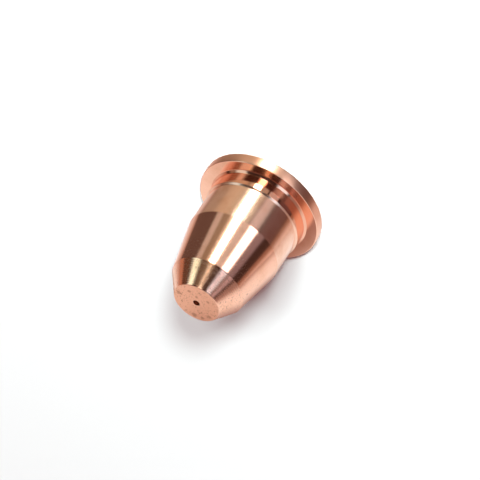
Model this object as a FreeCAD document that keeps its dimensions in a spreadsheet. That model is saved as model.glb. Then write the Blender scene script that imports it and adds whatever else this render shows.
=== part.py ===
import FreeCAD, Part
import os
import Sketcher

# A plasma cutting nozzle, turned in one piece from copper bar. All lengths are in millimetres.
# The axis is Z, the origin is the centre of the flange's rear face, and the nose points to +Z.

# Driving dimensions: the alias, the value and what it measures.
SIZES = [
    ("body_diameter", "12.1", "outside of the cylinder between the neck and the taper"),
    ("neck_step", "0.2", "how much the neck stands out of the body, on the radius"),
    ("flange_overhang", "1.75", "how far the flange stands out of the neck, on the radius"),
    ("flange_thickness", "1.4", "rear face to front face of the flange"),
    ("flange_edge_break", "0.12", "chamfer on both rims of the flange"),
    ("neck_root_radius", "0.3", "fillet between the flange and the neck"),
    ("neck_length", "1.9", "front face of the flange to the step down to the body"),
    ("body_length", "5.0", "step of the neck to the start of the taper"),
    ("taper_length", "6.6", "height of the long cone"),
    ("taper_end_diameter", "9.5", "small end of the long cone"),
    ("nose_length", "2.9", "height of the short steep cone"),
    ("nose_face_diameter", "6.0", "flat face at the tip, before its edge is rounded"),
    ("nose_edge_radius", "0.15", "rounding of the edge of the nose face"),
    ("seat_wall", "0.95", "wall between the neck and the bore that takes the gas ring"),
    ("seat_depth", "4.2", "rear face to the shoulder that the gas ring stands on"),
    ("seat_lead_in", "0.3", "chamfer at the mouth of the rear bore"),
    ("chamber_wall", "1.85", "wall between the body and the plasma chamber"),
    ("chamber_corner_radius", "0.8", "rounding between the chamber wall and its cone"),
    ("chamber_cone_angle", "100", "included angle of the cone that leads to the orifice, in degrees"),
    ("orifice_diameter", "0.85", "hole that the arc leaves by"),
    ("orifice_length", "3.0", "nose face back to the mouth of the orifice in the chamber"),
]

doc = FreeCAD.newDocument("plasma_cutting_nozzle")
sizes = doc.addObject("Spreadsheet::Sheet", "Sizes")
for row, (alias, value, meaning) in enumerate(SIZES, start=1):
    sizes.set(f"A{row}", alias)
    sizes.set(f"B{row}", value)
    sizes.set(f"C{row}", meaning)
    sizes.setAlias(f"B{row}", alias)
doc.recompute()

# Radii and heights worked out from the driving dimensions, as formulas of the document.
BODY_RADIUS = "(Sizes.body_diameter / 2)"
NECK_RADIUS = f"({BODY_RADIUS} + Sizes.neck_step)"
FLANGE_RADIUS = f"({NECK_RADIUS} + Sizes.flange_overhang)"
TAPER_END_RADIUS = "(Sizes.taper_end_diameter / 2)"
NOSE_FACE_RADIUS = "(Sizes.nose_face_diameter / 2)"
SEAT_RADIUS = f"({NECK_RADIUS} - Sizes.seat_wall)"
CHAMBER_RADIUS = f"({BODY_RADIUS} - Sizes.chamber_wall)"
ORIFICE_RADIUS = "(Sizes.orifice_diameter / 2)"

REAR_FACE = "0"
FLANGE_FRONT = "Sizes.flange_thickness"
NECK_TOP = f"({FLANGE_FRONT} + Sizes.neck_length)"
BODY_START = f"({NECK_TOP} + Sizes.neck_step)"
BODY_TOP = f"({NECK_TOP} + Sizes.body_length)"
TAPER_TOP = f"({BODY_TOP} + Sizes.taper_length)"
NOSE_FACE = f"({TAPER_TOP} + Sizes.nose_length)"
SEAT_SHOULDER = "Sizes.seat_depth"
ORIFICE_MOUTH = f"({NOSE_FACE} - Sizes.orifice_length)"
HALF_CONE_SLOPE = "tan(Sizes.chamber_cone_angle / 2 * 1 deg)"
CHAMBER_END = f"({ORIFICE_MOUTH} - ({CHAMBER_RADIUS} - {ORIFICE_RADIUS}) / {HALF_CONE_SLOPE})"

# The numbers that a sketch gives to its axes and to the points of a line or a circle. The origin
# is the start of the horizontal axis.
AXIS = {"horizontal": -1, "vertical": -2}
POINT = {"start": 1, "end": 2, "centre": 3}

# Two radii or heights nearer than this are the same edge.
SAME_PLACE = 0.0001


def value_of(formula):
    """The number that a formula of the document gives."""
    return float(sizes.evalExpression(formula))


def new_sketch(body, plane_role, name):
    """An empty sketch on one of the body's own origin planes."""
    sketch = body.newObject("Sketcher::SketchObject", name)
    plane = next(item for item in body.Origin.OriginFeatures if item.Role == plane_role)
    sketch.AttachmentSupport = [(plane, "")]
    sketch.MapMode = "FlatFace"
    return sketch


def place_corner(sketch, line, kind, axis, name, formula):
    """Hold the start of a line at a formula's distance from an axis, or on the axis itself."""
    origin = (AXIS["horizontal"], POINT["start"])
    corner = (line, POINT["start"])
    if formula == "0":
        sketch.addConstraint(Sketcher.Constraint("PointOnObject", *corner, AXIS[axis]))
        return
    dimension = Sketcher.Constraint(kind, *origin, *corner, value_of(formula))
    sketch.renameConstraint(sketch.addConstraint(dimension), name)
    sketch.setExpression(f"Constraints.{name}", formula)


def draw_half_section(sketch, corners):
    """Draw a closed outline through named corners, each given by its radius and its height.

    Neighbours of one height are joined by a horizontal line and neighbours of one radius by a
    vertical one, so every corner is held once in each direction.
    """
    points = [FreeCAD.Vector(value_of(radius), value_of(height), 0) for name, radius, height in corners]
    count = len(corners)
    for line in range(count):
        sketch.addGeometry(Part.LineSegment(points[line], points[(line + 1) % count]))
    for line in range(count):
        following = (line + 1) % count
        joint = (line, POINT["end"], following, POINT["start"])
        sketch.addConstraint(Sketcher.Constraint("Coincident", *joint))
        if corners[line][1] == corners[following][1]:
            sketch.addConstraint(Sketcher.Constraint("Vertical", line))
        if corners[line][2] == corners[following][2]:
            sketch.addConstraint(Sketcher.Constraint("Horizontal", line))
    for line, (name, radius, height) in enumerate(corners):
        previous = corners[line - 1]
        if radius != previous[1]:
            place_corner(sketch, line, "DistanceX", "vertical", f"{name}_radius", radius)
        if height != previous[2]:
            place_corner(sketch, line, "DistanceY", "horizontal", f"{name}_height", height)


def ring_edge(feature, radius, height):
    """The name of the feature's circular edge with that radius at that height."""
    wanted_radius = value_of(radius)
    wanted_height = value_of(height)
    for number, edge in enumerate(feature.Shape.Edges, start=1):
        if not isinstance(edge.Curve, Part.Circle):
            continue
        same_radius = abs(edge.Curve.Radius - wanted_radius) < SAME_PLACE
        same_height = abs(edge.Curve.Center.z - wanted_height) < SAME_PLACE
        if same_radius and same_height:
            return f"Edge{number}"
    raise ValueError(f"{feature.Name} has no edge of radius {radius} at height {height}")


def turn(body, kind, name, sketch):
    """Revolve a sketch about the nozzle's axis, to add metal or to take it away."""
    feature = body.newObject(kind, name)
    feature.Profile = sketch
    feature.ReferenceAxis = (sketch, ["V_Axis"])
    feature.Angle = 360
    sketch.Visibility = False
    doc.recompute()
    return feature


def dress_edges(body, kind, name, rings, size_property, size_alias):
    """Chamfer or fillet the named rings of the body's last feature."""
    base = body.Tip
    feature = body.newObject(kind, name)
    feature.Base = (base, [ring_edge(base, radius, height) for radius, height in rings])
    feature.setExpression(size_property, f"Sizes.{size_alias}")
    doc.recompute()
    return feature


# The nozzle.
nozzle = doc.addObject("PartDesign::Body", "Nozzle")
nozzle.Label = "nozzle"

# Outside: flange, neck, body, long taper and steep nose, turned from the bar in one set-up.
outside = new_sketch(nozzle, "XZ_Plane", "OutsideProfile")
draw_half_section(outside, [
    ("axis_rear", "0", REAR_FACE),
    ("flange_rear", FLANGE_RADIUS, REAR_FACE),
    ("flange_front", FLANGE_RADIUS, FLANGE_FRONT),
    ("neck_root", NECK_RADIUS, FLANGE_FRONT),
    ("neck_top", NECK_RADIUS, NECK_TOP),
    ("body_start", BODY_RADIUS, BODY_START),
    ("body_top", BODY_RADIUS, BODY_TOP),
    ("taper_top", TAPER_END_RADIUS, TAPER_TOP),
    ("nose_rim", NOSE_FACE_RADIUS, NOSE_FACE),
    ("axis_front", "0", NOSE_FACE),
])
turn(nozzle, "PartDesign::Revolution", "TurnedOutside", outside)

flange_rims = [(FLANGE_RADIUS, REAR_FACE), (FLANGE_RADIUS, FLANGE_FRONT)]
dress_edges(nozzle, "PartDesign::Chamfer", "FlangeEdgeBreaks", flange_rims, "Size", "flange_edge_break")
neck_root = [(NECK_RADIUS, FLANGE_FRONT)]
dress_edges(nozzle, "PartDesign::Fillet", "NeckRoot", neck_root, "Radius", "neck_root_radius")
nose_rim = [(NOSE_FACE_RADIUS, NOSE_FACE)]
dress_edges(nozzle, "PartDesign::Fillet", "NoseEdge", nose_rim, "Radius", "nose_edge_radius")
outer_volume = nozzle.Shape.Volume

# Inside: the seat of the gas ring, the plasma chamber and the cone that gathers the gas.
inside = new_sketch(nozzle, "XZ_Plane", "BoreProfile")
draw_half_section(inside, [
    ("bore_axis_rear", "0", REAR_FACE),
    ("seat_mouth", SEAT_RADIUS, REAR_FACE),
    ("seat_shoulder", SEAT_RADIUS, SEAT_SHOULDER),
    ("chamber_mouth", CHAMBER_RADIUS, SEAT_SHOULDER),
    ("chamber_end", CHAMBER_RADIUS, CHAMBER_END),
    ("orifice_mouth", ORIFICE_RADIUS, ORIFICE_MOUTH),
    ("bore_axis_front", "0", ORIFICE_MOUTH),
])
turn(nozzle, "PartDesign::Groove", "BoredInside", inside)
if nozzle.Shape.Volume >= outer_volume:
    raise RuntimeError("the bore took nothing away")

seat_mouth = [(SEAT_RADIUS, REAR_FACE)]
dress_edges(nozzle, "PartDesign::Chamfer", "SeatLeadIn", seat_mouth, "Size", "seat_lead_in")
chamber_end = [(CHAMBER_RADIUS, CHAMBER_END)]
corner_size = "chamber_corner_radius"
dress_edges(nozzle, "PartDesign::Fillet", "ChamberCorner", chamber_end, "Radius", corner_size)
bored_volume = nozzle.Shape.Volume

# Orifice: drilled from the nose face into the chamber.
drill_point = new_sketch(nozzle, "XY_Plane", "OrificeCentre")
drill_point.setExpression("AttachmentOffset.Base.z", NOSE_FACE)
up = FreeCAD.Vector(0, 0, 1)
circle = drill_point.addGeometry(Part.Circle(FreeCAD.Vector(), up, value_of(ORIFICE_RADIUS)))
on_axis = (circle, POINT["centre"], AXIS["horizontal"], POINT["start"])
drill_point.addConstraint(Sketcher.Constraint("Coincident", *on_axis))
across = Sketcher.Constraint("Diameter", circle, value_of("Sizes.orifice_diameter"))
drill_point.renameConstraint(drill_point.addConstraint(across), "orifice_diameter")
drill_point.setExpression("Constraints.orifice_diameter", "Sizes.orifice_diameter")
doc.recompute()

orifice = nozzle.newObject("PartDesign::Hole", "Orifice")
orifice.Profile = drill_point
orifice.DepthType = "ThroughAll"
orifice.setExpression("Diameter", "Sizes.orifice_diameter")
drill_point.Visibility = False
doc.recompute()
if nozzle.Shape.Volume >= bored_volume:
    raise RuntimeError("the orifice took nothing away")

# Nothing is written unless every object of the document is sound.
for item in doc.Objects:
    if "Invalid" in item.State or "Error" in item.State:
        raise RuntimeError(f"{item.Label} is in state {item.State}")
for sketch in (outside, inside, drill_point):
    if not sketch.FullyConstrained:
        raise RuntimeError(f"{sketch.Label} isn't fully constrained")
if nozzle.Shape.isNull() or not nozzle.Shape.isValid() or len(nozzle.Shape.Solids) != 1:
    raise RuntimeError("the nozzle isn't one sound solid")

os.makedirs("parts", exist_ok=True)
nozzle.Shape.exportStep(f"parts/{nozzle.Label}.step")
print(f"{nozzle.Label}: {nozzle.Shape.Volume:.2f} cubic mm, {nozzle.Shape.BoundBox}")
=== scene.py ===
import math

import bpy
from bpy.props import FloatProperty, FloatVectorProperty, IntProperty, PointerProperty
from bpy.types import Operator, Panel, PropertyGroup
from mathutils import Matrix, Vector


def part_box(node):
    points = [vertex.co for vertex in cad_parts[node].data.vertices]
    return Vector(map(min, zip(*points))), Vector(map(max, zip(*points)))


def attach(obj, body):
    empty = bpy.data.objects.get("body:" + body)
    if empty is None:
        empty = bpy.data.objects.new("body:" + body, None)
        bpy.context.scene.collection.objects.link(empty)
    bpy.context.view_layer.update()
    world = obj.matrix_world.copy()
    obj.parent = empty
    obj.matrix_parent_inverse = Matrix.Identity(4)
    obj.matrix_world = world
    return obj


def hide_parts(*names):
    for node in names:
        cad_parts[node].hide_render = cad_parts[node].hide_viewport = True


bl_info = {
    "name": "Plasma cutting nozzle",
    "version": (1, 0, 0),
    "blender": (4, 5, 0),
    "location": "View3D > Sidebar > Nozzle",
    "description": "Turns a copper plasma cutting nozzle and lights it on a pale bench",
    "category": "Add Mesh",
}

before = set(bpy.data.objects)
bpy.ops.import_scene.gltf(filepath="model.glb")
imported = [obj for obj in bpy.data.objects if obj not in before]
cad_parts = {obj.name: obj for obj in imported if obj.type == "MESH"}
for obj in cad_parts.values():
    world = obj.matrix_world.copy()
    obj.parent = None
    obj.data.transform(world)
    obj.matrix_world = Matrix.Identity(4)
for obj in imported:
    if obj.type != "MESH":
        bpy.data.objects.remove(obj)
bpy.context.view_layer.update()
NOZZLE_LOW, NOZZLE_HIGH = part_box("nozzle")

MM = 0.001
# Two rings nearer than this are the same ring.
SAME_RING = 0.002 * MM


class NozzleSizes(PropertyGroup):
    """The nozzle's outline, from the flange's rear face at z = 0 up to the nose."""

    flange_radius: FloatProperty(
        name="Flange radius", description="Outer rim of the flange",
        default=min(-NOZZLE_LOW.x, NOZZLE_HIGH.x, -NOZZLE_LOW.y, NOZZLE_HIGH.y), unit="LENGTH")
    flange_thickness: FloatProperty(
        name="Flange thickness", description="Rear face to front face",
        default=1.4 * MM, unit="LENGTH")
    rim_crown: FloatProperty(
        name="Rim crown", description="Swell of the flange's rim in the middle of its height",
        default=0.03 * MM, unit="LENGTH")
    flange_edge: FloatProperty(
        name="Flange edge break", description="Chamfer on both rims of the flange",
        default=0.12 * MM, unit="LENGTH")
    flange_dish: FloatProperty(
        name="Flange dish", description="How much lower the front face lies at the neck than at the rim",
        default=0.07 * MM, unit="LENGTH")
    neck_radius: FloatProperty(
        name="Neck radius", description="Bright land in front of the flange",
        default=6.25 * MM, unit="LENGTH")
    neck_root: FloatProperty(
        name="Neck root", description="Chamfer between the flange and the neck",
        default=0.26 * MM, unit="LENGTH")
    neck_top: FloatProperty(
        name="Neck top", description="Height at which the neck steps down to the body",
        default=3.3 * MM, unit="LENGTH")
    body_radius: FloatProperty(
        name="Body radius", description="Cylinder between the neck and the taper",
        default=6.05 * MM, unit="LENGTH")
    body_top: FloatProperty(
        name="Body top", description="Height at which the long taper starts",
        default=8.3 * MM, unit="LENGTH")
    taper_top: FloatProperty(
        name="Taper top", description="Height at which the steep nose starts",
        default=14.9 * MM, unit="LENGTH")
    taper_top_radius: FloatProperty(
        name="Taper top radius", description="Small end of the long taper",
        default=4.75 * MM, unit="LENGTH")
    nose_top: FloatProperty(
        name="Nose top", description="Height of the nose face",
        default=NOZZLE_HIGH.z, unit="LENGTH")
    nose_face_radius: FloatProperty(
        name="Nose face radius", description="Flat face round the orifice, with its edge sharp",
        default=3.0 * MM, unit="LENGTH")
    nose_edge: FloatProperty(
        name="Nose edge", description="Rounding of the edge of the nose face",
        default=0.15 * MM, unit="LENGTH")
    orifice_radius: FloatProperty(
        name="Orifice radius", description="Hole that the arc leaves by",
        default=0.425 * MM, unit="LENGTH")
    orifice_mouth: FloatProperty(
        name="Orifice mouth", description="Height at which the orifice opens into the chamber",
        default=14.8 * MM, unit="LENGTH")
    chamber_radius: FloatProperty(
        name="Chamber radius", description="Bore that holds the plasma",
        default=4.2 * MM, unit="LENGTH")
    chamber_corner: FloatProperty(
        name="Chamber corner", description="Rounding between the chamber wall and its cone",
        default=0.8 * MM, unit="LENGTH")
    chamber_end: FloatProperty(
        name="Chamber end", description="Height at which the chamber's cone starts",
        default=11.632 * MM, unit="LENGTH")
    seat_radius: FloatProperty(
        name="Seat radius", description="Rear bore that takes the gas ring",
        default=5.3 * MM, unit="LENGTH")
    seat_shoulder: FloatProperty(
        name="Seat shoulder", description="Height of the ledge that the gas ring stands on",
        default=4.2 * MM, unit="LENGTH")
    seat_lead_in: FloatProperty(
        name="Seat lead-in", description="Chamfer at the mouth of the rear bore",
        default=0.3 * MM, unit="LENGTH")
    edge_break: FloatProperty(
        name="Edge break", description="Hair-fine rounding where two cuts meet",
        default=0.03 * MM, unit="LENGTH")
    segments: IntProperty(
        name="Segments", description="Flats round the nozzle", default=256, min=32)
    ripple_pitch: FloatProperty(
        name="Ripple pitch", description="Spacing of the cutter's marks on the nose cone",
        default=0.26 * MM, unit="LENGTH")
    ripple_depth: FloatProperty(
        name="Ripple depth", description="Height of the cutter's marks on the nose cone",
        default=0.004 * MM, unit="LENGTH")


class NozzleFinish(PropertyGroup):
    """Colours and polish of the copper."""

    bright_copper: FloatVectorProperty(
        name="Bright copper", description="Freshly cut metal", subtype="COLOR",
        size=3, min=0.0, max=1.0, default=(0.96, 0.56, 0.41))
    pale_copper: FloatVectorProperty(
        name="Pale copper", description="The cleanest metal, on the body", subtype="COLOR",
        size=3, min=0.0, max=1.0, default=(0.98, 0.64, 0.49))
    warm_copper: FloatVectorProperty(
        name="Warm copper", description="Metal that has begun to oxidise", subtype="COLOR",
        size=3, min=0.0, max=1.0, default=(0.86, 0.46, 0.30))
    neck_copper: FloatVectorProperty(
        name="Neck copper", description="Metal of the neck, more red than the body", subtype="COLOR",
        size=3, min=0.0, max=1.0, default=(0.90, 0.47, 0.33))
    face_copper: FloatVectorProperty(
        name="Face copper", description="Metal of the nose face, dulled by the arc", subtype="COLOR",
        size=3, min=0.0, max=1.0, default=(0.86, 0.46, 0.31))
    stain: FloatVectorProperty(
        name="Stain", description="Brown spots and specks", subtype="COLOR",
        size=3, min=0.0, max=1.0, default=(0.28, 0.12, 0.07))
    body_roughness: FloatProperty(
        name="Body roughness", description="Satin of the body",
        subtype="FACTOR", default=0.22, min=0.0, max=1.0)
    taper_roughness: FloatProperty(
        name="Taper roughness", description="Satin of the long taper",
        subtype="FACTOR", default=0.18, min=0.0, max=1.0)
    neck_roughness: FloatProperty(
        name="Neck roughness", description="Polish of the neck",
        subtype="FACTOR", default=0.1, min=0.0, max=1.0)
    rim_roughness: FloatProperty(
        name="Rim roughness", description="Satin of the flange's rim",
        subtype="FACTOR", default=0.335, min=0.0, max=1.0)
    front_roughness: FloatProperty(
        name="Flange front roughness", description="Polish of the flange's front face",
        subtype="FACTOR", default=0.14, min=0.0, max=1.0)
    nose_roughness: FloatProperty(
        name="Nose roughness", description="Polish of the steep nose",
        subtype="FACTOR", default=0.16, min=0.0, max=1.0)
    face_roughness: FloatProperty(
        name="Face roughness", description="Dull finish of the nose face",
        subtype="FACTOR", default=0.5, min=0.0, max=1.0)


class NozzleStage(PropertyGroup):
    """Camera, bench and lamps."""

    camera_elevation: FloatProperty(
        name="Camera elevation", description="Height of the camera above the floor, as an angle",
        subtype="ANGLE", default=math.radians(35.4))
    camera_roll: FloatProperty(
        name="Camera roll", description="Turn of the camera about its line of sight",
        subtype="ANGLE", default=math.radians(213.58))
    camera_distance: FloatProperty(
        name="Camera distance", description="Camera to the nozzle", default=0.4, unit="LENGTH")
    lens: FloatProperty(
        name="Lens", description="Focal length for a 36 mm wide sensor", default=246.3)
    bench_tilt: FloatProperty(
        name="Bench tilt", description="Angle of the line of sight above the bench in the reflections",
        subtype="ANGLE", default=math.radians(34.3))
    bench_radius: FloatProperty(
        name="Bench radius", description="Reach of the reflected bench", default=0.035, unit="LENGTH")
    bench_drop: FloatProperty(
        name="Bench drop", description="From the nozzle's middle down to the reflected bench",
        default=6.03 * MM, unit="LENGTH")
    floor_colour: FloatVectorProperty(
        name="Floor", description="Colour of the floor", subtype="COLOR",
        size=3, min=0.0, max=1.0, default=(0.8, 0.8, 0.8))
    floor_lift: FloatProperty(
        name="Floor lift", description="White that the camera alone sees on the floor", default=0.02)
    key_distance: FloatProperty(
        name="Key distance", description="Lamp to the nozzle", default=1.0, unit="LENGTH")
    key_power: FloatProperty(
        name="Key power", description="Power of the lamps together", default=25.7)


def empty_selection():
    """Leave edit mode and select nothing, because an operator acts on all that is selected."""
    if bpy.context.object and bpy.context.object.mode != "OBJECT":
        bpy.ops.object.mode_set(mode="OBJECT")
    bpy.ops.object.select_all(action="DESELECT")


def ring_of(vertex):
    """The radius and the height of the ring that a vertex lies on."""
    return math.hypot(vertex.co.x, vertex.co.y), vertex.co.z


# Weight of large faces over small ones in the shading, where 50 is even.
LARGE_FACE_WEIGHT = 80


class Lathe:
    """Builds a turned piece ring by ring: a circle is extruded along the outline."""

    def __init__(self, name, segments, radius, height):
        empty_selection()
        bpy.ops.mesh.primitive_circle_add(vertices=segments, radius=radius, location=(0, 0, height))
        self.piece = bpy.context.object
        self.piece.name = name
        self.piece.data.name = name
        bpy.ops.object.transform_apply(location=True, rotation=True, scale=True)
        bpy.ops.object.mode_set(mode="EDIT")
        bpy.ops.mesh.select_mode(type="EDGE")
        bpy.ops.mesh.select_all(action="SELECT")
        self.radius = radius
        self.height = height

    def cut_to(self, radius, height):
        """Extrude the last ring to a new radius and height."""
        rise = height - self.height
        bpy.ops.mesh.extrude_region_move(TRANSFORM_OT_translate={"value": (0, 0, rise)})
        if radius != self.radius:
            grow = radius / self.radius
            bpy.ops.transform.resize(value=(grow, grow, 1), center_override=(0, 0, height))
        self.radius = radius
        self.height = height

    def close(self):
        """Weld the last ring to the first one and turn the faces outwards."""
        bpy.ops.mesh.select_all(action="SELECT")
        bpy.ops.mesh.remove_doubles(threshold=SAME_RING)
        bpy.ops.mesh.normals_make_consistent(inside=False)
        bpy.ops.mesh.select_all(action="DESELECT")

    def select_ring(self, radius, height):
        """Select the edges of one ring."""
        bpy.ops.mesh.select_all(action="DESELECT")
        bpy.ops.object.mode_set(mode="OBJECT")
        vertices = self.piece.data.vertices
        chosen = set()
        for vertex in vertices:
            its_radius, its_height = ring_of(vertex)
            if abs(its_radius - radius) < SAME_RING and abs(its_height - height) < SAME_RING:
                chosen.add(vertex.index)
        if not chosen:
            raise RuntimeError(f"no ring of radius {radius:.6f} at height {height:.6f}")
        for edge in self.piece.data.edges:
            edge.select = edge.vertices[0] in chosen and edge.vertices[1] in chosen
        bpy.ops.object.mode_set(mode="EDIT")

    def round_ring(self, radius, height, offset, segments):
        """Round the corner at one ring, or chamfer it with one segment."""
        self.select_ring(radius, height)
        bpy.ops.mesh.bevel(offset=offset, segments=segments, profile=0.5, affect="EDGES")

    def finish(self):
        """Shade the piece so that flat cuts stay flat up to their edges."""
        bpy.ops.object.mode_set(mode="OBJECT")
        bpy.ops.object.shade_smooth()
        # The modifier doesn't tell very small faces apart, so it works on the piece enlarged.
        self.enlarge(1 / MM)
        even = self.piece.modifiers.new("even_shading", "WEIGHTED_NORMAL")
        even.mode = "FACE_AREA"
        even.weight = LARGE_FACE_WEIGHT
        bpy.ops.object.modifier_apply(modifier=even.name)
        self.enlarge(MM)
        return self.piece

    def enlarge(self, factor):
        """Scale the mesh about the origin."""
        bpy.ops.transform.resize(value=(factor, factor, factor), center_override=(0, 0, 0))
        bpy.ops.object.transform_apply(location=False, rotation=False, scale=True)


RIM_STEPS = 8
STEPS_PER_RIPPLE = 4


def crowned_rim(lathe, height, crown):
    """Cut a rim that swells a little in the middle of its height."""
    low_radius = lathe.radius
    low_height = lathe.height
    for step in range(1, RIM_STEPS):
        part = step / RIM_STEPS
        swell = crown * (1 - (2 * part - 1) ** 2)
        lathe.cut_to(low_radius + swell, low_height + (height - low_height) * part)
    lathe.cut_to(low_radius, height)


def rippled_cone(lathe, radius, height, pitch, depth):
    """Cut a cone whose wall carries the shallow waves that a cutter's feed leaves."""
    start = Vector((lathe.radius, lathe.height))
    end = Vector((radius, height))
    run = end - start
    outward = Vector((run.y, -run.x)).normalized()
    waves = max(1, round(run.length / pitch))
    steps = STEPS_PER_RIPPLE * waves
    for step in range(1, steps):
        along = start + run * (step / steps)
        swell = depth * math.sin(2 * math.pi * waves * step / steps)
        point = along + outward * swell
        lathe.cut_to(point.x, point.y)
    lathe.cut_to(radius, height)


def turn_nozzle(sizes):
    """The whole nozzle as one closed wall: outside, orifice, chamber, seat and rear face."""
    edge_radius = sizes.flange_radius - sizes.rim_crown
    lathe = Lathe("nozzle_turned", sizes.segments, edge_radius, NOZZLE_LOW.z)
    step = sizes.neck_radius - sizes.body_radius
    front_at_neck = sizes.flange_thickness - sizes.flange_dish
    crowned_rim(lathe, sizes.flange_thickness, sizes.rim_crown)
    lathe.cut_to(sizes.neck_radius + sizes.neck_root, front_at_neck)
    lathe.cut_to(sizes.neck_radius, front_at_neck + sizes.neck_root)
    lathe.cut_to(sizes.neck_radius, sizes.neck_top)
    lathe.cut_to(sizes.body_radius, sizes.neck_top + step)
    lathe.cut_to(sizes.body_radius, sizes.body_top)
    lathe.cut_to(sizes.taper_top_radius, sizes.taper_top)
    rippled_cone(lathe, sizes.nose_face_radius, sizes.nose_top, sizes.ripple_pitch, sizes.ripple_depth)
    lathe.cut_to(sizes.orifice_radius, sizes.nose_top)
    lathe.cut_to(sizes.orifice_radius, sizes.orifice_mouth)
    lathe.cut_to(sizes.chamber_radius, sizes.chamber_end)
    lathe.cut_to(sizes.chamber_radius, sizes.seat_shoulder)
    lathe.cut_to(sizes.seat_radius, sizes.seat_shoulder)
    lathe.cut_to(sizes.seat_radius, NOZZLE_LOW.z)
    lathe.cut_to(edge_radius, NOZZLE_LOW.z)
    lathe.close()

    nose_run = sizes.nose_top - sizes.taper_top
    nose_drop = sizes.taper_top_radius - sizes.nose_face_radius
    nose_turn = math.atan2(nose_run, nose_drop)
    nose_offset = sizes.nose_edge * math.tan(nose_turn / 2)
    chamber_turn = math.atan2(
        sizes.chamber_radius - sizes.orifice_radius, sizes.orifice_mouth - sizes.chamber_end)
    corner_offset = sizes.chamber_corner * math.tan(chamber_turn / 2)
    fine = sizes.edge_break
    # Each corner that is broken: its radius, its height, how far the cut reaches and its segments.
    corners = [
        (edge_radius, NOZZLE_LOW.z, sizes.flange_edge, 3),
        (edge_radius, sizes.flange_thickness, sizes.flange_edge, 3),
        (sizes.neck_radius + sizes.neck_root, front_at_neck, fine, 2),
        (sizes.neck_radius, front_at_neck + sizes.neck_root, fine, 2),
        (sizes.neck_radius, sizes.neck_top, fine, 2),
        (sizes.body_radius, sizes.neck_top + step, fine, 2),
        (sizes.body_radius, sizes.body_top, fine, 2),
        (sizes.taper_top_radius, sizes.taper_top, fine, 3),
        (sizes.nose_face_radius, sizes.nose_top, nose_offset, 5),
        (sizes.orifice_radius, sizes.nose_top, fine, 3),
        (sizes.chamber_radius, sizes.chamber_end, corner_offset, 8),
        (sizes.chamber_radius, sizes.seat_shoulder, fine, 2),
        (sizes.seat_radius, NOZZLE_LOW.z, sizes.seat_lead_in, 1),
    ]
    for corner in corners:
        lathe.round_ring(*corner)
    return lathe.finish()


class Board:
    """Adds nodes to a node tree and wires them."""

    def __init__(self, tree):
        self.tree = tree
        tree.nodes.clear()

    def add(self, kind, settings, sockets):
        """One node: its settings, then its sockets by name or number, each a value or an output."""
        made = self.tree.nodes.new(kind)
        for name, value in settings.items():
            setattr(made, name, value)
        for name, value in sockets.items():
            if isinstance(value, bpy.types.NodeSocket):
                self.tree.links.new(value, made.inputs[name])
            else:
                made.inputs[name].default_value = value
        return made

    def math(self, operation, first, second=0.5, clamp=False):
        settings = {"operation": operation, "use_clamp": clamp}
        return self.add("ShaderNodeMath", settings, {0: first, 1: second}).outputs[0]

    def vector_math(self, operation, first, second=(0, 0, 0)):
        """Two vectors worked into a number for a length, a distance or a dot product, else a vector."""
        made = self.add("ShaderNodeVectorMath", {"operation": operation}, {0: first, 1: second})
        number = operation in {"LENGTH", "DISTANCE", "DOT_PRODUCT"}
        return made.outputs["Value" if number else "Vector"]

    def blend(self, factor, first, second):
        """Between two colours."""
        settings = {"data_type": "RGBA", "blend_type": "MIX"}
        return self.add("ShaderNodeMix", settings, {0: factor, 6: first, 7: second}).outputs[2]

    def between(self, value, low, high, to_low=0.0, to_high=1.0):
        """Spread a value's range low to high over a new range, with soft ends."""
        settings = {"interpolation_type": "SMOOTHSTEP", "clamp": True}
        sockets = {0: value, 1: low, 2: high, 3: to_low, 4: to_high}
        return self.add("ShaderNodeMapRange", settings, sockets).outputs[0]

    def noise(self, vector, scale, detail=3.0, roughness=0.5):
        sockets = {"Vector": vector, "Scale": scale, "Detail": detail, "Roughness": roughness}
        return self.add("ShaderNodeTexNoise", {}, sockets).outputs[0]

    def stretched(self, vector, scale):
        """The vector with each of its axes scaled."""
        return self.add("ShaderNodeMapping", {}, {"Vector": vector, "Scale": scale}).outputs[0]


WHITE = (1.0, 1.0, 1.0)


def colour(values):
    """A colour of three numbers as a colour socket takes it."""
    return (values[0], values[1], values[2], 1.0)


def new_material(name):
    material = bpy.data.materials.new(name)
    material.use_nodes = True
    return material, Board(material.node_tree)


# Textures of the copper: how many features they have in a millimetre.
RINGS_PER_MM = 14.0
GRAIN_PER_MM = 9.0
CLOUDS_PER_MM = 0.35
SPOTS_PER_MM = 1.6
SPECKS_PER_MM = 6.5
# How much of the rings' pace along the axis is left to them going round it.
PACE_ROUND = 0.05
GRAIN_SHARE = 0.75
RELIEF = 0.007 * MM
# The heat's marks and the deeper relief set in between these heights, in mm.
HEATED = (10.0, 14.5)

# Brown stains on the nose face: x and y of the middle and the radius, in mm.
FACE_STAINS = [
    (2.44, 0.17, 0.42),
    (1.49, -1.28, 0.22),
    (0.40, -1.07, 0.24),
    (-1.11, -1.47, 0.30),
    (-0.57, 2.26, 0.42),
    (-1.56, 1.93, 0.24),
    (-2.22, 0.96, 0.38),
    (1.56, 1.31, 0.16),
    (0.57, 2.44, 0.16),
]
STAIN_RAGGEDNESS = 0.9
STAIN_STRENGTH = 0.55


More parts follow.
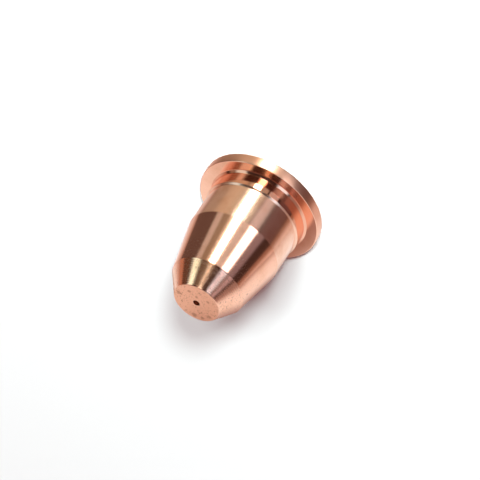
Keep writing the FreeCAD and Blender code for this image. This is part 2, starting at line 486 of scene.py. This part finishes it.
def lathe_rings(board, split):
    """Fine rings, which change quickly along the axis and the radius and slowly round them."""
    across = board.math("POWER", split.outputs[0], 2.0)
    deep = board.math("POWER", split.outputs[1], 2.0)
    radius = board.math("SQRT", board.math("ADD", across, deep))
    place = board.add("ShaderNodeCombineXYZ", {}, {
        0: board.math("MULTIPLY", split.outputs[0], PACE_ROUND),
        1: board.math("MULTIPLY", split.outputs[1], PACE_ROUND),
        2: board.math("SUBTRACT", split.outputs[2], radius)})
    return board.noise(place.outputs[0], RINGS_PER_MM, 2.0, 0.6)


def turned_copper(name, tint, finish, roughness, drawn_out, grain_depth, stain_share, speck_share, stains):
    """Copper cut on a lathe: fine rings, highlights drawn out along the axis, stains and specks."""
    material, board = new_material(name)
    place = board.add("ShaderNodeTexCoord", {}, {}).outputs["Object"]
    per_mm = board.stretched(place, (1 / MM, 1 / MM, 1 / MM))
    split = board.add("ShaderNodeSeparateXYZ", {}, {0: per_mm})
    rings = lathe_rings(board, split)
    grain = board.noise(per_mm, GRAIN_PER_MM, 2.0, 0.6)
    relief = board.blend(GRAIN_SHARE, rings, grain)

    # Cloudy oxide, brown stains and small specks.
    clouds = board.noise(per_mm, CLOUDS_PER_MM, 4.0, 0.55)
    spots = board.noise(per_mm, SPOTS_PER_MM, 5.0, 0.65)
    specks = board.noise(per_mm, SPECKS_PER_MM, 2.0, 0.6)
    oxide = board.between(clouds, 0.45, 0.75, 0.0, 0.6)
    heated = board.between(split.outputs[2], *HEATED)
    stain = board.between(spots, 0.72 - stain_share, 0.80 - stain_share)
    speck = board.between(specks, 0.72 - speck_share, 0.78 - speck_share)
    marks = board.math("MULTIPLY", board.math("MAXIMUM", stain, speck, clamp=True), heated)
    ragged = board.math("MULTIPLY", board.math("SUBTRACT", spots, 0.5), STAIN_RAGGEDNESS)
    for x, y, size in stains:
        reach = board.vector_math("DISTANCE", per_mm, (x, y, NOZZLE_HIGH.z / MM))
        blot = board.between(board.math("ADD", reach, ragged), 0.5 * size, size, STAIN_STRENGTH, 0.0)
        marks = board.math("MAXIMUM", marks, blot)

    metal = board.blend(oxide, colour(tint), colour(finish.warm_copper))
    marked = board.blend(board.math("MULTIPLY", marks, 0.75), metal, colour(finish.stain))
    polish = board.between(grain, 0.3, 0.7, roughness * 0.9, roughness * 1.1)
    dulled = board.math("ADD", polish, board.math("MULTIPLY", marks, 0.2))
    depth = board.between(heated, 0, 1, 0.4 * grain_depth, grain_depth)
    bump = board.add("ShaderNodeBump", {}, {"Strength": depth, "Distance": RELIEF, "Height": relief})
    tangent = board.add("ShaderNodeTangent", {"direction_type": "RADIAL", "axis": "Z"}, {})
    surface = board.add("ShaderNodeBsdfPrincipled", {}, {
        "Base Color": marked, "Metallic": 1.0, "Roughness": dulled,
        "Anisotropic": drawn_out, "Anisotropic Rotation": 0.25,
        "Normal": bump.outputs[0], "Tangent": tangent.outputs[0]})
    board.add("ShaderNodeOutputMaterial", {}, {0: surface.outputs[0]})
    return material


# A face whose normal rises more than this is flat and looks up.
LOOKS_UP = 0.9


def cut_of(polygon, sizes):
    """The name of the cut that a face belongs to."""
    centre = polygon.center
    radius = math.hypot(centre.x, centre.y)
    looks_up = polygon.normal.z > LOOKS_UP
    looks_in = polygon.normal.x * centre.x + polygon.normal.y * centre.y < 0
    in_the_wall = 0.5 * (sizes.seat_radius + sizes.body_radius)
    if radius < in_the_wall:
        if looks_in and centre.z > NOZZLE_LOW.z + SAME_RING:
            return "bore"
        if centre.z < sizes.body_top:
            return "bore"
    if centre.z < sizes.flange_thickness + SAME_RING:
        if looks_up:
            return "front"
        if radius > sizes.neck_radius + sizes.neck_root:
            return "rim"
    if centre.z < sizes.neck_top + SAME_RING:
        return "neck"
    if centre.z < sizes.body_top:
        return "body"
    if centre.z < sizes.taper_top:
        return "taper"
    return "face" if looks_up else "nose"


def finish_nozzle(piece, sizes, finish):
    """Give each cut of the nozzle its own finish."""
    bright = finish.bright_copper
    # Each cut: its name, its colour, its roughness, how far its highlights are drawn out, the depth of
    # its grain, how much of it is stained and specked, and the stains that are listed one by one.
    cuts = [
        ("body", finish.pale_copper, finish.body_roughness, 0.4, 0.1, 0.0, 0.0, ()),
        ("neck", finish.neck_copper, finish.neck_roughness, 0.3, 0.06, 0.0, 0.0, ()),
        ("rim", bright, finish.rim_roughness, 0.62, 0.12, 0.0, 0.0, ()),
        ("nose", bright, finish.nose_roughness, 0.5, 1.0, 0.08, 0.12, ()),
        ("face", finish.face_copper, finish.face_roughness, 0.0, 0.4, 0.11, 0.10, FACE_STAINS),
        ("bore", bright, finish.body_roughness, 0.4, 0.1, 0.02, 0.0, ()),
        ("taper", bright, finish.taper_roughness, 0.6, 0.6, 0.08, 0.10, ()),
        ("front", bright, finish.front_roughness, 0.5, 0.06, 0.0, 0.0, ()),
    ]
    slots = {}
    for name, tint, *look in cuts:
        slots[name] = len(piece.data.materials)
        piece.data.materials.append(turned_copper(f"copper_{name}", tint, finish, *look))
    for polygon in piece.data.polygons:
        polygon.material_index = slots[cut_of(polygon, sizes)]


class NOZZLE_OT_turn(Operator):
    """Turn the nozzle ring by ring and give each cut its finish"""

    bl_idname = "nozzle.turn"
    bl_label = "Turn the nozzle"

    def execute(self, context):
        sizes = context.scene.nozzle_sizes
        piece = turn_nozzle(sizes)
        finish_nozzle(piece, sizes, context.scene.nozzle_finish)
        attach(piece, "root")
        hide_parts("nozzle")
        return {"FINISHED"}


def camera_axes(stage):
    """Right, up and back of the camera, in the world."""
    rise = stage.camera_elevation
    level_right = Vector((1, 0, 0))
    level_up = Vector((0, math.sin(rise), math.cos(rise)))
    back = Vector((0, -math.cos(rise), math.sin(rise)))
    turn = Matrix.Rotation(stage.camera_roll, 3, back)
    return turn @ level_right, turn @ level_up, back


# The flange's centre seen from the camera, off the middle of the picture: right and up.
FLANGE_OFF_CENTRE = (2.84 * MM, 4.60 * MM)
SENSOR_WIDTH = 36


def add_camera(stage):
    """The camera, rolled so that the nose points down and to the left."""
    right, up, back = camera_axes(stage)
    aim = -right * FLANGE_OFF_CENTRE[0] - up * FLANGE_OFF_CENTRE[1]
    empty_selection()
    bpy.ops.object.camera_add(location=aim + back * stage.camera_distance)
    camera = bpy.context.object
    camera.name = "camera"
    camera.rotation_euler = Matrix((right, up, back)).transposed().to_euler()
    camera.data.sensor_width = SENSOR_WIDTH
    camera.data.lens = stage.lens
    camera.data.clip_start = 0.01
    bpy.context.scene.camera = camera


def bench_axes(stage):
    """Right, away and up of the bench that the reflections show, in the world."""
    right, up, back = camera_axes(stage)
    tilt = stage.bench_tilt
    away = up * math.sin(tilt) - back * math.cos(tilt)
    overhead = up * math.cos(tilt) + back * math.sin(tilt)
    return right, away, overhead


def show_only_in_reflections(thing):
    """The metal sees it, and the camera and the floor don't."""
    thing.visible_camera = False
    thing.visible_diffuse = False
    thing.visible_transmission = False
    thing.visible_volume_scatter = False
    thing.visible_shadow = False


STUDIO_RADIUS = 1.5
CEILING_HEIGHT = 0.5
NOZZLE_MIDDLE = Vector((0, 0, 0.5 * (NOZZLE_LOW.z + NOZZLE_HIGH.z)))

# Softboxes on the ceiling of the room that the metal reflects. Each has its name, the place of its
# middle to the right and away, its width and its length, all as multiples of the ceiling's height,
# then the way it runs, from straight away towards the right, its strength and its colour.
SOFTBOXES = [
    ("strip", 0.14, 0.25, 0.245, 1.28, 21, 15.0, (1.0, 1.0, 0.90)),
    ("strip_halo_left", -0.06, 0.32, 0.14, 1.15, 21, 0.60, (1.0, 0.90, 0.72)),
    ("strip_halo_right", 0.50, 0.32, 0.22, 0.50, 21, 0.46, (1.0, 0.88, 0.74)),
    ("window_glow", 0.36, -0.20, 0.34, 0.46, 21, 0.66, (1.0, 0.96, 0.92)),
    ("strip_near", -0.34, -0.72, 0.17, 0.36, 21, 1.05, (0.92, 1.0, 0.78)),
    ("strip_tail", -0.40, -0.98, 0.12, 0.14, 21, 0.50, (1.0, 0.70, 0.52)),
    ("near_lamp", -0.62, -1.28, 0.38, 0.44, 30, 6.5, (1.0, 0.98, 0.90)),
    ("left_strip", -0.65, 0.35, 0.36, 0.62, 21, 0.60, (1.0, 0.95, 0.88)),
    ("window", 0.82, -0.44, 0.60, 0.44, 21, 5.0, (0.97, 0.98, 1.0)),
    ("window_far", 0.94, 0.12, 0.60, 0.56, 21, 0.62, (1.0, 0.86, 0.86)),
    ("window_near", 0.68, -1.55, 0.40, 1.00, -45, 2.0, (0.78, 0.92, 1.14)),
]


def emission_material(name, tint, strength):
    material, board = new_material(name)
    glow = board.add("ShaderNodeEmission", {}, {"Color": colour(tint), "Strength": strength})
    board.add("ShaderNodeOutputMaterial", {}, {0: glow.outputs[0]})
    return material


def placed(thing, middle, right, away, overhead):
    """Stand a thing on the bench's axes."""
    turn = Matrix((right, away, overhead)).transposed().to_4x4()
    thing.matrix_world = Matrix.Translation(middle) @ turn


def add_softbox(stage, name, to_right, to_away, wide, tall, bearing, strength, tint):
    """A glowing panel on the ceiling."""
    right, away, overhead = bench_axes(stage)
    middle = NOZZLE_MIDDLE + (right * to_right + away * to_away + overhead) * CEILING_HEIGHT
    along = right * math.sin(math.radians(bearing)) + away * math.cos(math.radians(bearing))
    across = along.cross(overhead)
    empty_selection()
    bpy.ops.mesh.primitive_plane_add(size=CEILING_HEIGHT)
    panel = bpy.context.object
    panel.name = name
    bpy.ops.transform.resize(value=(wide, tall, 1))
    bpy.ops.object.transform_apply(location=False, rotation=False, scale=True)
    placed(panel, middle, across, along, overhead)
    panel.data.materials.append(emission_material(name, tint, strength))
    show_only_in_reflections(panel)


# Patches of the room's wall: the name, where the patch starts and ends as heights above the bench,
# the bearing of its middle from straight away towards the right and its half width, all in degrees,
# then its colour. A later patch covers an earlier one.
WALL_PATCHES = [
    ("ceiling", 50, 100, -60, 125, (0.30, 0.25, 0.18)),
    ("right_edge", -7, 0, 92, 36, (0.34, 0.18, 0.13)),
    ("right_wall", 3, 32, 82, 14, (0.155, 0.083, 0.080)),
    ("right_high", 20, 42, 110, 12, (0.30, 0.245, 0.285)),
    ("near_bench", -22, 0, 140, 28, (0.36, 0.25, 0.23)),
    ("near_right", 7, 17, 147, 8, (0.72, 0.60, 0.68)),
    ("near_right_high", 17, 24, 151, 8, (0.40, 0.33, 0.35)),
    ("near_right_low", -3, 8, 157, 8, (0.32, 0.28, 0.31)),
    ("near_mid", 17, 31, 171, 8, (0.48, 0.55, 0.66)),
    ("near_wall", 3, 17, 178, 9, (1.2, 1.55, 1.9)),
    ("back_left", 20, 58, -15, 22, (0.62, 0.49, 0.35)),
    ("back_low", 1, 30, -13, 22, (0.44, 0.34, 0.26)),
    ("left_wall", 3, 46, -48, 13, (0.13, 0.083, 0.070)),
    ("left_window_high", 30, 46, -102, 12.5, (1.5, 2.0, 1.75)),
    ("left_window", 12, 31, -106, 11, (0.90, 1.1, 1.15)),
    ("left_side", 12, 29, -79, 8, (0.16, 0.090, 0.058)),
    ("left_low_wall", 0, 11, -104, 15, (0.36, 0.26, 0.20)),
    ("left_low", -3, 9, -68, 13, (0.56, 0.29, 0.20)),
]
PATCH_EDGE = 3
# The room's wall goes down to this angle below the bench's horizon.
STUDIO_DIP = math.radians(26)
# Heights over which the wall turns into bench, and over which the bench brightens, in degrees.
HORIZON = (-3, 1)
BENCH_RISE = (-16, 0)
# The dark above the horizon, and the bench below it at the horizon and near by.
DARK_ROOM = (0.05, 0.026, 0.020)
BENCH_AT_HORIZON = (0.44, 0.26, 0.21)
BENCH_BELOW = (0.84, 0.68, 0.62)


def wall_patch(board, height, bearing, low, high, middle, half):
    """How much of the wall a patch covers, with soft edges."""
    above = board.between(height, low - PATCH_EDGE, low + PATCH_EDGE)
    below = board.between(height, high - PATCH_EDGE, high + PATCH_EDGE, 1.0, 0.0)
    aside = board.add("ShaderNodeMath", {"operation": "WRAP"}, {
        0: board.math("SUBTRACT", bearing, middle), 1: 180.0, 2: -180.0})
    off = board.math("ABSOLUTE", aside.outputs[0])
    within = board.between(off, half - PATCH_EDGE, half + PATCH_EDGE, 1.0, 0.0)
    return board.math("MULTIPLY", board.math("MULTIPLY", above, below), within)


def add_studio(stage):
    """The dim room above the bench, which the metal reflects and the camera doesn't see."""
    empty_selection()
    bpy.ops.mesh.primitive_uv_sphere_add(segments=96, ring_count=48, radius=STUDIO_RADIUS)
    studio = bpy.context.object
    studio.name = "studio"
    bpy.ops.object.mode_set(mode="EDIT")
    bpy.ops.mesh.select_all(action="SELECT")
    lowest = -STUDIO_RADIUS * math.sin(STUDIO_DIP)
    bpy.ops.mesh.bisect(plane_co=(0, 0, lowest), plane_no=(0, 0, 1), clear_inner=True)
    bpy.ops.object.mode_set(mode="OBJECT")
    placed(studio, NOZZLE_MIDDLE, *bench_axes(stage))
    material, board = new_material("studio_walls")
    place = board.add("ShaderNodeTexCoord", {}, {}).outputs["Object"]
    split = board.add("ShaderNodeSeparateXYZ", {}, {0: place})
    rise = board.math("ARCSINE", board.math("DIVIDE", split.outputs[2], STUDIO_RADIUS))
    height = board.math("DEGREES", rise)
    bearing = board.math("DEGREES", board.math("ARCTAN2", split.outputs[0], split.outputs[1]))
    below_horizon = board.between(height, *HORIZON, 1.0, 0.0)
    fading = board.between(height, *BENCH_RISE)
    bench = board.blend(fading, colour(BENCH_BELOW), colour(BENCH_AT_HORIZON))
    shade = board.blend(below_horizon, colour(DARK_ROOM), bench)
    for name, low, high, middle, half, tint in WALL_PATCHES:
        share = wall_patch(board, height, bearing, low, high, middle, half)
        shade = board.blend(share, shade, colour(tint))
        shade.node.label = name
    glow = board.add("ShaderNodeEmission", {}, {"Color": shade, "Strength": 1.0})
    board.add("ShaderNodeOutputMaterial", {}, {0: glow.outputs[0]})
    studio.data.materials.append(material)
    show_only_in_reflections(studio)


# The reflected bench, a glowing disc whose colour is a painted reflection of a lit white bench. Its places
# are in mm from its middle, along the nozzle and across it. Two ovals of painted shade lie on it, each
# with its middle, its reach, and where its edge starts and ends as shares of the reach: one is the
# nozzle's painted shadow under it and one is painted shade beside it.
BENCH_FADED = (0.70, 0.53, 0.47)
BENCH_FADES = (10, 38)
BENCH_DIMMED = (0.40, 0.28, 0.26)
BENCH_DIMS = (13, 34)
SHADE_MIDDLE = (-2.2, 0.5)
SHADE_REACH = (12.0, 5.6)
SHADE_EDGE = (0.55, 1.4)
SHADE_COLOUR = (0.38, 0.24, 0.21)
SIDE_SHADE_MIDDLE = (4.0, -9.0)
SIDE_SHADE_REACH = (7.0, 4.0)
SIDE_SHADE_EDGE = (0.3, 1.2)
SIDE_SHADE_DEPTH = 0.8
SIDE_SHADE_COLOUR = (0.58, 0.40, 0.29)
BENCH_STRENGTH = 1.05


def from_oval(board, place, middle, reach):
    """How far a place lies from the middle of an oval, as a share of the oval's reach."""
    shifted = board.vector_math("ADD", place, (-middle[0], -middle[1], 0))
    return board.vector_math("LENGTH", board.stretched(shifted, (1 / reach[0], 1 / reach[1], 1)))


def add_bench(stage):
    """The white bench close below, painted as a glowing disc with the nozzle's painted shadow under it,
    for reflections only.
    """
    right, away, overhead = bench_axes(stage)
    upright = Vector((0, 0, 1))
    along = (upright - overhead * upright.dot(overhead)).normalized()
    across = overhead.cross(along)
    empty_selection()
    bpy.ops.mesh.primitive_circle_add(vertices=64, radius=stage.bench_radius, fill_type="NGON")
    bench = bpy.context.object
    bench.name = "bench"
    placed(bench, NOZZLE_MIDDLE - overhead * stage.bench_drop, along, across, overhead)
    material, board = new_material("bench_white")
    place = board.add("ShaderNodeTexCoord", {}, {}).outputs["Object"]
    in_mm = board.stretched(place, (1 / MM, 1 / MM, 1 / MM))
    far = board.vector_math("LENGTH", in_mm)
    lit = board.blend(board.between(far, *BENCH_FADES), colour(WHITE), colour(BENCH_FADED))
    # The bench dims on the side that lies to the right and near.
    aside = (right - away).normalized()
    toward = board.vector_math("DOT_PRODUCT", in_mm, (aside.dot(along), aside.dot(across), 0))
    dimmed = board.blend(board.between(toward, *BENCH_DIMS), lit, colour(BENCH_DIMMED))
    # Painted shadow of the nozzle on the bench, under the nozzle.
    near = from_oval(board, in_mm, SHADE_MIDDLE, SHADE_REACH)
    shade = board.blend(board.between(near, *SHADE_EDGE, 1.0, 0.0), dimmed, colour(SHADE_COLOUR))
    # Painted shade on the bench, beside the nozzle.
    side = from_oval(board, in_mm, SIDE_SHADE_MIDDLE, SIDE_SHADE_REACH)
    shade = board.blend(board.between(side, *SIDE_SHADE_EDGE, SIDE_SHADE_DEPTH, 0.0), shade, colour(SIDE_SHADE_COLOUR))
    glow = board.add("ShaderNodeEmission", {}, {"Color": shade, "Strength": BENCH_STRENGTH})
    board.add("ShaderNodeOutputMaterial", {}, {0: glow.outputs[0]})
    bench.data.materials.append(material)
    show_only_in_reflections(bench)


def add_floor(stage):
    """A pale floor that takes the nozzle's shadow and shows white to the camera."""
    empty_selection()
    bpy.ops.mesh.primitive_plane_add(size=4, location=(0, 0, NOZZLE_LOW.z))
    floor = bpy.context.object
    floor.name = "floor"
    material, board = new_material("pale_floor")
    matt = board.add("ShaderNodeBsdfDiffuse", {}, {"Color": colour(stage.floor_colour)})
    rays = board.add("ShaderNodeLightPath", {}, {})
    lift = board.math("MULTIPLY", rays.outputs["Is Camera Ray"], stage.floor_lift)
    glow = board.add("ShaderNodeEmission", {}, {"Strength": lift})
    both = board.add("ShaderNodeAddShader", {}, {0: matt.outputs[0], 1: glow.outputs[0]})
    board.add("ShaderNodeOutputMaterial", {}, {0: both.outputs[0]})
    floor.data.materials.append(material)
    floor.visible_glossy = False
    floor.visible_shadow = False


SKY_TINT = (0.23, 0.08, 0.08)


def add_world():
    """White behind everything that is seen or mirrored, and a soft light on what is matt."""
    world = bpy.data.worlds.new("soft_white")
    world.use_nodes = True
    board = Board(world.node_tree)
    rays = board.add("ShaderNodeLightPath", {}, {})
    mirrored = board.math("ADD", rays.outputs["Is Glossy Ray"], rays.outputs["Is Transmission Ray"])
    seen = board.math("ADD", rays.outputs["Is Camera Ray"], mirrored, clamp=True)
    tint = board.blend(seen, colour(SKY_TINT), colour(WHITE))
    sky = board.add("ShaderNodeBackground", {}, {"Color": tint, "Strength": 1.0})
    board.add("ShaderNodeOutputWorld", {}, {0: sky.outputs[0]})
    bpy.context.scene.world = world


# Lamps close to the camera. Each has its name, its place seen from the nozzle, right and up of the
# camera, its width and its height, all as parts of its distance, then its share of the power.
# Their light is a little short of red, which the sky makes up, so that only the shadow looks warm.
KEYS = [
    ("key_far_left", -0.38, 0.0, 0.24, 0.14, 0.15),
    ("key_left", -0.16, 0.08, 0.20, 0.12, 0.29),
    ("key_right", 0.04, 0.12, 0.12, 0.12, 0.56),
]
KEY_TINT = (0.86, 1.0, 1.0)


def add_key(stage, name, to_right, to_up, wide, high, share):
    """A lamp close to the camera that throws the nozzle's soft shadow on the floor."""
    right, up, back = camera_axes(stage)
    empty_selection()
    toward = (back + right * to_right + up * to_up) * stage.key_distance
    bpy.ops.object.light_add(type="AREA", location=NOZZLE_MIDDLE + toward)
    key = bpy.context.object
    key.name = name
    key.data.shape = "ELLIPSE"
    key.data.size = wide * stage.key_distance
    key.data.size_y = high * stage.key_distance
    key.data.energy = stage.key_power * share
    key.data.color = KEY_TINT
    key.rotation_euler = Matrix((right, up, back)).transposed().to_euler()
    key.visible_glossy = False


class NOZZLE_OT_stage(Operator):
    """Add the floor, the room and the bench of the reflections, the lamps and the camera"""

    bl_idname = "nozzle.stage"
    bl_label = "Set the stage"

    def execute(self, context):
        stage = context.scene.nozzle_stage
        add_floor(stage)
        add_studio(stage)
        add_bench(stage)
        for softbox in SOFTBOXES:
            add_softbox(stage, *softbox)
        add_world()
        for key in KEYS:
            add_key(stage, *key)
        add_camera(stage)
        context.scene.view_settings.view_transform = "Standard"
        return {"FINISHED"}


class NOZZLE_PT_panel(Panel):
    """Sizes, finishes and stage of the nozzle"""

    bl_label = "Plasma cutting nozzle"
    bl_idname = "NOZZLE_PT_panel"
    bl_space_type = "VIEW_3D"
    bl_region_type = "UI"
    bl_category = "Nozzle"

    def draw(self, context):
        groups = (
            (context.scene.nozzle_sizes, NozzleSizes),
            (context.scene.nozzle_finish, NozzleFinish),
            (context.scene.nozzle_stage, NozzleStage),
        )
        for group, kind in groups:
            box = self.layout.box()
            for name in kind.__annotations__:
                box.prop(group, name)
        self.layout.operator(NOZZLE_OT_turn.bl_idname)
        self.layout.operator(NOZZLE_OT_stage.bl_idname)


CLASSES = (NozzleSizes, NozzleFinish, NozzleStage, NOZZLE_OT_turn, NOZZLE_OT_stage, NOZZLE_PT_panel)


def register():
    for cls in CLASSES:
        bpy.utils.register_class(cls)
    bpy.types.Scene.nozzle_sizes = PointerProperty(type=NozzleSizes)
    bpy.types.Scene.nozzle_finish = PointerProperty(type=NozzleFinish)
    bpy.types.Scene.nozzle_stage = PointerProperty(type=NozzleStage)


def unregister():
    del bpy.types.Scene.nozzle_stage
    del bpy.types.Scene.nozzle_finish
    del bpy.types.Scene.nozzle_sizes
    for cls in reversed(CLASSES):
        bpy.utils.unregister_class(cls)


def main():
    register()
    bpy.ops.nozzle.turn()
    bpy.ops.nozzle.stage()


if __name__ == "__main__":
    main()
